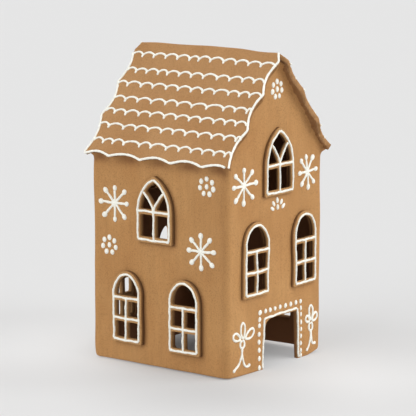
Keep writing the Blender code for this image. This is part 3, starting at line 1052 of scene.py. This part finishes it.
def loop_points(foot, tip, width):
    """A drop-shaped loop from its foot round its tip and back, as a piped bow has."""
    foot, tip = np.asarray(foot, float), np.asarray(tip, float)
    axis = tip - foot
    side = np.array([-axis[1], axis[0]]) / np.linalg.norm(axis) * width / 2
    shares = ((0.0, 0.0), (0.35, 0.8), (0.7, 1.0), (0.93, 0.62), (1.0, 0.0))
    right = [foot + axis * a + side * b for a, b in shares]
    left = [foot + axis * a - side * b for a, b in reversed(shares[:-1])]
    return np.array(right + left)


def bow(piping, surface, knot, loops, tails):
    """A piped bow: a ring for its knot, drop-shaped loops above it, and tails with a thick tip."""
    ring = oval(knot, 2.7, 3.5, np.linspace(0, 2 * np.pi, 9) + 1.6)
    piping.line(ring, surface, width=2.2)
    for foot, tip, width in loops:
        piping.line(loop_points(foot, tip, width), surface, width=2.2)
    for tail in tails:
        piping.line(tail, surface, width=2.2, ends=(1.0, 1.6))


def window_icing(piping, window):
    """The lines on a window frame: round its guide line, along its bars and up its mullion."""
    surface = on_wall(window.side, window.stand)
    centre, foot, mullion = window.centre, window.foot, window.mullion
    left, right = centre - window.half, centre + window.half
    pointed = isinstance(window, Pointed)
    head = window.head(0.0)
    if pointed:
        turn = len(head) // 2
        right_arc, left_arc = head[: turn + 1], head[turn:]
        piping.line(np.vstack([[(right, foot)], right_arc[::3]]), surface, ends=(1.15, 1.2))
        piping.line(np.vstack([left_arc[::3], [(left, foot)]]), surface, ends=(1.0, 1.15))
    else:
        around = np.vstack([[(right, foot)], head[::4], [(left, foot)]])
        piping.line(around, surface, ends=(1.15, 1.15))
    sill = [(left - 0.3, foot), ((left + right) / 2, foot - 0.3), (right + 0.3, foot)]
    piping.line(sill, surface, ends=(1.3, 1.2))
    if pointed:
        spring = window.spring
        bar = [(left, spring), (right, spring)]
        piping.line(bar, surface, ends=(1.15, 1.15), blobs=((0.5, 0.3),))
        piping.line([(mullion, foot), (mullion, spring)], surface, blobs=((1, 0.3),))
        for sign in (-1, 1):
            z = np.linspace(spring, window.top, 200)
            z = z[window.tracery(z) < window.reach(z, 0.0)]
            branch = np.stack([mullion + sign * window.tracery(z), z], 1)
            piping.line(branch[:: max(len(branch) // 8, 1)], surface, ends=(1.1, 1.1))
    else:
        for height in window.bars:
            reach = window.reach(height, 0.0)
            bar = [(centre - reach, height), (mullion, height - 0.2), (centre + reach, height)]
            piping.line(bar, surface, ends=(1.2, 1.2), blobs=((0.5, 0.25),))
        piping.line([(mullion, foot), (mullion, window.bars[1])], surface)


# ---- materials ---------------------------------------------------------------------------


def linear(code):
    """An sRGB hex colour as linear light."""
    parts = [int(code[i : i + 2], 16) / 255 for i in (1, 3, 5)]
    return [p / 12.92 if p <= 0.04045 else ((p + 0.055) / 1.055) ** 2.4 for p in parts] + [1.0]


def new_material(name):
    """A material, its node tree and its shader."""
    made = bpy.data.materials.new(name)
    made.use_nodes = True
    return made, made.node_tree, made.node_tree.nodes["Principled BSDF"]


def add_node(tree, kind, settings=None, **links):
    """Adds a shader node, with its properties and unlinked inputs in settings.

    Each of links is an input's name, or i and its number, and the output that feeds it."""
    node = tree.nodes.new("ShaderNode" + kind)
    for key, value in (settings or {}).items():
        if isinstance(key, str) and hasattr(node, key):
            setattr(node, key, value)
        else:
            node.inputs[key].default_value = value
    for key, socket in links.items():
        where = int(key[1:]) if key[1:].isdigit() else key.replace("_", " ")
        tree.links.new(socket, node.inputs[where])
    return node


def fired_clay(name, pale, mid, dark, grain_mm, streaks, bump_mm, shade_colour="#4A2C18"):
    """Fired earthenware, unglazed: a matte body whose colour drifts with its iron and its firing.

    Patches of tone about 45 mm across, fine wiping streaks up the walls, 3.2 mm apart, and sand grains
    of grain_mm with small dark pits. The last colour is painted shade: it darkens hollows, reveals,
    insides and undersides where the painted shade attribute is above 0."""
    made, tree, shader = new_material(name)
    where = add_node(tree, "TexCoord").outputs["Object"]
    patches = add_node(tree, "TexNoise", {"Scale": METRE / 45, "Detail": 4.0, "Roughness": 0.55},
                       Vector=where)
    stretched = add_node(tree, "Mapping", {"Scale": (1.0, 1.0, 0.11)}, Vector=where)
    wiping = add_node(tree, "TexNoise", {"Scale": METRE / 3.2, "Detail": 3.0, "Roughness": 0.6},
                      Vector=stretched.outputs[0])
    grain = add_node(tree, "TexNoise", {"Scale": METRE / grain_mm, "Detail": 3.0, "Roughness": 0.7},
                     Vector=where)
    tone = add_node(tree, "MapRange", {"From Min": 0.3, "From Max": 0.7}, Value=patches.outputs["Fac"])
    colour = add_node(tree, "Mix", {"data_type": "RGBA", 6: linear(mid), 7: linear(pale)},
                      i0=tone.outputs[0])
    between_streaks = {"From Min": 0.3, "From Max": 0.7, "To Min": 1 - streaks, "To Max": 1 + streaks}
    streak = add_node(tree, "MapRange", between_streaks, Value=wiping.outputs["Fac"])
    pits = {"From Min": 0.36, "From Max": 0.5, "To Min": 0.45, "To Max": 0.0}
    speck = add_node(tree, "MapRange", pits, Value=grain.outputs["Fac"])
    sand = add_node(tree, "Mix", {"data_type": "RGBA", 7: linear(dark)},
                    i0=speck.outputs[0], i6=colour.outputs[2])
    shade = add_node(tree, "VectorMath", {"operation": "SCALE"},
                     i0=sand.outputs[2], Scale=streak.outputs[0])
    # Painted shade: the attribute mixes in a dark colour where shade would fall
    painted_shade = add_node(tree, "Attribute", {"attribute_name": "painted_shade"})
    shade_mixed = add_node(tree, "Mix", {"data_type": "RGBA", 7: linear(shade_colour)},
                      i0=painted_shade.outputs["Fac"], i6=shade.outputs[0])
    tree.links.new(shade_mixed.outputs[2], shader.inputs["Base Color"])
    low = add_node(tree, "Bump", {"Strength": 0.5, "Distance": 0.25 / METRE},
                   Height=wiping.outputs["Fac"])
    fine = add_node(tree, "Bump", {"Strength": 1.0, "Distance": bump_mm / METRE},
                    Height=grain.outputs["Fac"], Normal=low.outputs[0])
    tree.links.new(fine.outputs[0], shader.inputs["Normal"])
    shader.inputs["Roughness"].default_value = 0.82
    shader.inputs["Specular IOR Level"].default_value = 0.3
    return made


def piped_slip():
    """White porcelain slip, piped and fired: satin, a little warm, smooth but for slight ripples."""
    made, tree, shader = new_material("piped_porcelain_slip")
    where = add_node(tree, "TexCoord").outputs["Object"]
    drift = add_node(tree, "TexNoise", {"Scale": METRE / 9, "Detail": 3.0}, Vector=where)
    whites = {"data_type": "RGBA", 6: linear("#FBFBF3"), 7: linear("#F0EFE3")}
    colour = add_node(tree, "Mix", whites, i0=drift.outputs["Fac"])
    tree.links.new(colour.outputs[2], shader.inputs["Base Color"])
    fine = add_node(tree, "TexNoise", {"Scale": METRE / 1.6, "Detail": 2.0}, Vector=where)
    bump = add_node(tree, "Bump", {"Strength": 0.4, "Distance": 0.15 / METRE},
                    Height=fine.outputs["Fac"])
    tree.links.new(bump.outputs[0], shader.inputs["Normal"])
    shader.inputs["Roughness"].default_value = 0.45
    return made


# ---- the object --------------------------------------------------------------------------

# The walls were wiped with a damp sponge, the roof strewn with sand, and the frames pressed in a mould
# Each clay's last colour is painted shade, which the painted shade attribute lays in hollows, reveals
# and under overhangs
wall_clay = fired_clay("wiped_earthenware", "#BE8F5A", "#B3824E", "#765130", 0.9, 0.05, 0.12,
                       shade_colour="#704626")
roof_clay = fired_clay("sanded_earthenware", "#B78B5C", "#AD7F50", "#694628", 0.8, 0.03, 0.3)
frame_clay = fired_clay("pressed_earthenware", "#BE9360", "#B48756", "#765130", 0.9, 0.02, 0.08,
                        shade_colour="#341A08")
slip = piped_slip()

make_walls(wall_clay)
make_roof(roof_clay)
for number, window in enumerate(windows):
    make_frame(window, frame_clay, 100 + number)

# Each snowflake's arms, as (degrees, length)
FLAKE_1 = [(88, 14), (44, 16), (2, 14.5), (-45, 16.5),
           (-89, 15), (-135, 16.5), (179, 15.5), (133, 15)]
FLAKE_2 = [(93, 14.5), (51, 14.5), (4, 13.5), (-42, 16),
           (-90, 14.5), (-136, 15), (179, 14), (138, 14.5)]
FLAKE_3 = [(90, 14), (43, 16), (3, 17.5), (-42, 17),
           (-91, 15.5), (-134, 16.5), (180, 14.5), (140, 15.5)]
FLAKE_4 = [(94, 13.5), (53, 15), (3, 14.5), (-45, 14.5),
           (-84, 14.5), (-127, 13.5), (-178, 11.5), (132, 14.5)]
# A half flower's petals, as (u, z, lean in degrees) from its middle
HALF_FLOWER = [(-7.5, -0.5, 60), (-5.5, 3.5, 35), (-0.5, 6.0, 5), (5.0, 4.0, -30), (8.2, 0.0, -60)]
# The front's two bows: the knot's middle, the loops as (foot, tip, width), and the tails
BOW_LEFT = (
    (-47.9, 27.8),
    [((-47.2, 32.0), (-47.2, 46.0), 6.4),
     ((-50.0, 32.5), (-60.8, 36.8), 6.2),
     ((-44.5, 32.0), (-31.2, 37.0), 7.0)],
    [[(-48.4, 24.2), (-49.2, 17.5), (-53.5, 11.0), (-60.6, 5.6)],
     [(-48.2, 24.2), (-47.8, 17.0), (-45.4, 10.2), (-41.0, 7.0), (-36.6, 8.8)]],
)
BOW_RIGHT = (
    (52.2, 25.3),
    [((52.6, 30.8), (52.6, 44.2), 5.6),
     ((51.2, 30.2), (45.0, 34.4), 5.0),
     ((54.2, 30.0), (61.2, 36.2), 5.4)],
    [[(52.2, 21.8), (51.6, 15.5), (49.0, 9.0), (45.0, 4.6)],
     [(52.4, 21.8), (53.4, 15.5), (55.4, 9.8), (60.6, 9.2)]],
)


def side_icing(side, seed, flakes, flowers, half_flowers=(), bows=()):
    """The ornaments piped straight on a side's wall, at their places (u, z)."""
    piping = Piping("icing_" + side, seed)
    surface = on_wall(side)
    for centre, arms in flakes:
        snowflake(piping, surface, centre, arms)
    for centre in flowers:
        dot_flower(piping, surface, centre)
    for centre in half_flowers:
        half_flower(piping, surface, centre)
    for parts in bows:
        bow(piping, surface, *parts)
    return piping


left = side_icing("left", 21, [((-49.2, 139.0), FLAKE_1), ((45.1, 107.1), FLAKE_2)],
                  [(50.5, 163.1), (-55.4, 101.6)])
front = side_icing("front", 22, [((-46.5, 163.0), FLAKE_3), ((45.3, 163.8), FLAKE_4)],
                   [(0.5, 239.8)], [(1.9, 138.6)], [BOW_LEFT, BOW_RIGHT])
right = side_icing("right", 23, [((-10.0, 139.0), FLAKE_2), ((-52.0, 108.0), FLAKE_3)],
                   [(-50.0, 162.0), (28.0, 97.0)])
back = side_icing("back", 24, [((45.0, 120.0), FLAKE_4), ((-44.0, 140.0), FLAKE_1)],
                  [(0.0, 238.0)], [(0.3, 122.0)])

# The doorway's line, and the dots over and beside it. The first dot over it is the largest
front_wall = on_wall("front")
door_line = [(-18.8, 0.9), (-17.4, 22), (-16.0, 43.2), (-15.2, 44.4), (8, 45.2), (31.0, 45.6)]
front.line(door_line, front_wall, ends=(1.2, 1.1), curved=False)
front.line([(31.8, 45.4), (33.2, 24), (35.0, 0.9)], front_wall, ends=(1.2, 1.1))
front.dot((-22.5, 50.7), front_wall, 4.8, 4.7)
for u in (-14.5, -8, -1, 6.5, 14, 21.5, 29.5, 36.5):
    front.dot((u, 50.7), front_wall, 3.8, 4.3)
for z in (44.6, 39.3, 31.8, 25, 18, 10.7, 2.8):
    front.dot((-22.9 - 0.02 * (44.6 - z), z), front_wall, 3.9, 4.5)
for z in (44.6, 39, 32, 25.7, 19.5, 13, 6.6, 2.4):
    front.dot((37.0 + 0.02 * (44.6 - z), z), front_wall, 2.5, 4.4)

pipings = {"left": left, "front": front, "right": right, "back": back}
for window in windows:
    window_icing(pipings[window.side], window)
for piping in pipings.values():
    piping.finish(slip)

# A slab's rows of scallops: each one's height up the slope from the eave, and its cusps along it
ROWS = {
    106.5: [-65, -52.5, -39, -26, -13, -3, 10, 24, 37, 50, 63],
    89.7: [-64, -52, -39, -29, -16, -3, 10, 25, 38, 52, 64],
    75.5: [-66, -51, -38, -23, -10, 4, 16, 29, 44, 55, 66],
    60.2: [-61, -47, -32, -16, -3, 12, 28, 46, 58, 70],
    47.0: [-66, -54, -39, -26, -11, 2, 16, 28, 42, 54, 65],
    32.5: [-65, -49, -35, -21, -7, 6, 19, 33, 47, 60, 72],
    16.7: [-63, -52, -40, -23, -10, 6, 20, 33, 45, 57, 68],
}


def roof_icing(slab, seed):
    """A slab's rows of scallops, and the lines along its eave and its gable edges.

    A scallop is a flattened half sine, and a small dot hangs at each cusp. The right slab's crumbly
    front edge has no line."""
    piping = Piping("icing_roof_" + slab, seed)
    sign = 1 if slab == "left" else -1

    def surface(points, out):
        """The slab's own u and v: along the ridge to the right, and up from the eave."""
        y, t = -sign * points[..., 0], sign * (SLOPE - points[..., 1])
        return on_roof(np.stack([y, t], -1), out)

    share = (1 - np.cos(np.linspace(0, np.pi, 13))) / 2
    rise = ROW_DEPTH * (np.sin(np.pi * share).clip(0, 1) ** 0.6 - 1)
    for crest, cusps in ROWS.items():
        reach = float(gable_reach(sign * (SLOPE - crest))) - 0.5
        stops = [-reach, *cusps, reach]
        for start, end in zip(stops, stops[1:]):
            points = np.stack([start + (end - start) * share, crest + rise], 1)
            piping.line(points, surface, width=1.85, ends=(1.15, 1.3), wobble=0.1)
        for cusp in cusps:
            piping.dot((cusp, crest - ROW_DEPTH - 0.5), surface, 2.3, 3.0)
    along_y = np.linspace(-78 if slab == "left" else -66, 74.5, 60)
    eave = np.stack([along_y, eave_edge(-sign * along_y) - 0.4], 1)
    piping.line(eave, surface, width=2.1, ends=(1.1, 1.1), wobble=0.05)
    # an edge's end, and how far down the slope its line starts
    for end, start in {"left": ((-1, 12), (1, 0.5)), "right": ((1, 0.5),)}[slab]:
        way = np.linspace(start, SLOPE - 1, 60)
        edge = (gable_reach(sign * way) - 0.3) * end
        piping.line(np.stack([edge, SLOPE - way], 1), surface, width=1.9, wobble=0.08)
    return piping.finish(slip)


roof_icing("left", 31)
roof_icing("right", 32)


# ---- floor, light and camera -------------------------------------------------------------

# The floor's own glow, and painted patches of shadow (less) and light (more): middle (x, y), reach and
# change
FLOOR_GLOW = 0.315
FLOOR_PAINTED_PATCHES = [
    ((-100, -80), 140, -0.125),
    ((5, 30), 105, -0.31),
    ((-60, 130), 150, 0.16),
    ((10, -130), 130, 0.07),
]


def glowing_floor_painted_shade():
    """A matt pale floor that glows, without a shine: the glow makes its shadows soft and light.

    The glow has painted shadow under the house and at its front left corner, and painted light behind
    and in front of it. Each patch fades from its middle to its reach in a smooth step."""
    made, tree, shader = new_material("matt_floor_glow_painted_shade")
    shader.inputs["Base Color"].default_value = linear("#ADADAD")
    shader.inputs["Roughness"].default_value = 0.9
    shader.inputs["Specular IOR Level"].default_value = 0.1
    where = add_node(tree, "TexCoord").outputs["Object"]
    glow = add_node(tree, "Value")
    glow.outputs[0].default_value = FLOOR_GLOW
    for (x, y), reach, amount in FLOOR_PAINTED_PATCHES:
        middle = {"operation": "DISTANCE", 1: (x / METRE, y / METRE, 0)}
        away = add_node(tree, "VectorMath", middle, i0=where)
        fade = {"interpolation_type": "SMOOTHSTEP", "From Max": reach / METRE, "To Min": amount,
                "To Max": 0.0}
        patch = add_node(tree, "MapRange", fade, Value=away.outputs["Value"])
        glow = add_node(tree, "Math", {"operation": "ADD"}, i0=glow.outputs[0], i1=patch.outputs[0])
    tree.links.new(glow.outputs[0], shader.inputs["Emission Strength"])
    shader.inputs["Emission Color"].default_value = (1, 1, 1, 1)
    return made


floor_mesh = bpy.data.meshes.new("floor")
floor_mesh.from_pydata([(-30, -30, 0), (30, -30, 0), (30, 30, 0), (-30, 30, 0)], [], [(0, 1, 2, 3)])
floor = bpy.data.objects.new("floor", floor_mesh)
bpy.context.scene.collection.objects.link(floor)
floor_mesh.materials.append(glowing_floor_painted_shade())


def soft_light(name, direction, strength, spread):
    """A distant softbox: a light from one direction, as wide as its spread in degrees."""
    light = bpy.data.lights.new(name, "SUN")
    light.energy = strength
    light.angle = math.radians(spread)
    made = bpy.data.objects.new(name, light)
    made.rotation_euler = Vector(direction).to_track_quat("Z", "Y").to_euler()
    bpy.context.scene.collection.objects.link(made)


soft_light("softbox_left", (-1.0, 0.35, 0.6), 1.44, 60)
soft_light("softbox_right", (0.5, -1.0, 0.6), 2.07, 60)
soft_light("softbox_above", (0.0, 0.0, 1.0), 0.88, 90)

world = bpy.data.worlds.new("studio")
bpy.context.scene.world = world
world.use_nodes = True
studio = world.node_tree.nodes["Background"]
studio.inputs["Color"].default_value = (1, 1, 1, 1)
studio.inputs["Strength"].default_value = 0.31

# The camera, in metres: it faces a point in the house's middle, then moves square to its view
CAMERA_DISTANCE = 2.0737
CAMERA_AZIMUTH, CAMERA_ELEVATION = math.radians(-52.51), math.radians(9.933)
AIM, SIDEWAYS = Vector((0, 0, 0.135)), Vector((-0.000614, -0.004673, 0))
LENS = 206.2
back_way = Vector((
    math.sin(CAMERA_AZIMUTH) * math.cos(CAMERA_ELEVATION),
    -math.cos(CAMERA_AZIMUTH) * math.cos(CAMERA_ELEVATION),
    math.sin(CAMERA_ELEVATION),
))
facing = (-back_way).to_track_quat("-Z", "Y")
camera = bpy.data.objects.new("camera", bpy.data.cameras.new("camera"))
camera.data.lens = LENS
camera.data.sensor_width = 36
camera.data.clip_end = 100
camera.location = AIM + facing @ SIDEWAYS + back_way * CAMERA_DISTANCE
camera.rotation_mode = "QUATERNION"
camera.rotation_quaternion = facing
bpy.context.scene.collection.objects.link(camera)
bpy.context.scene.camera = camera
bpy.context.scene.view_settings.view_transform = "Standard"
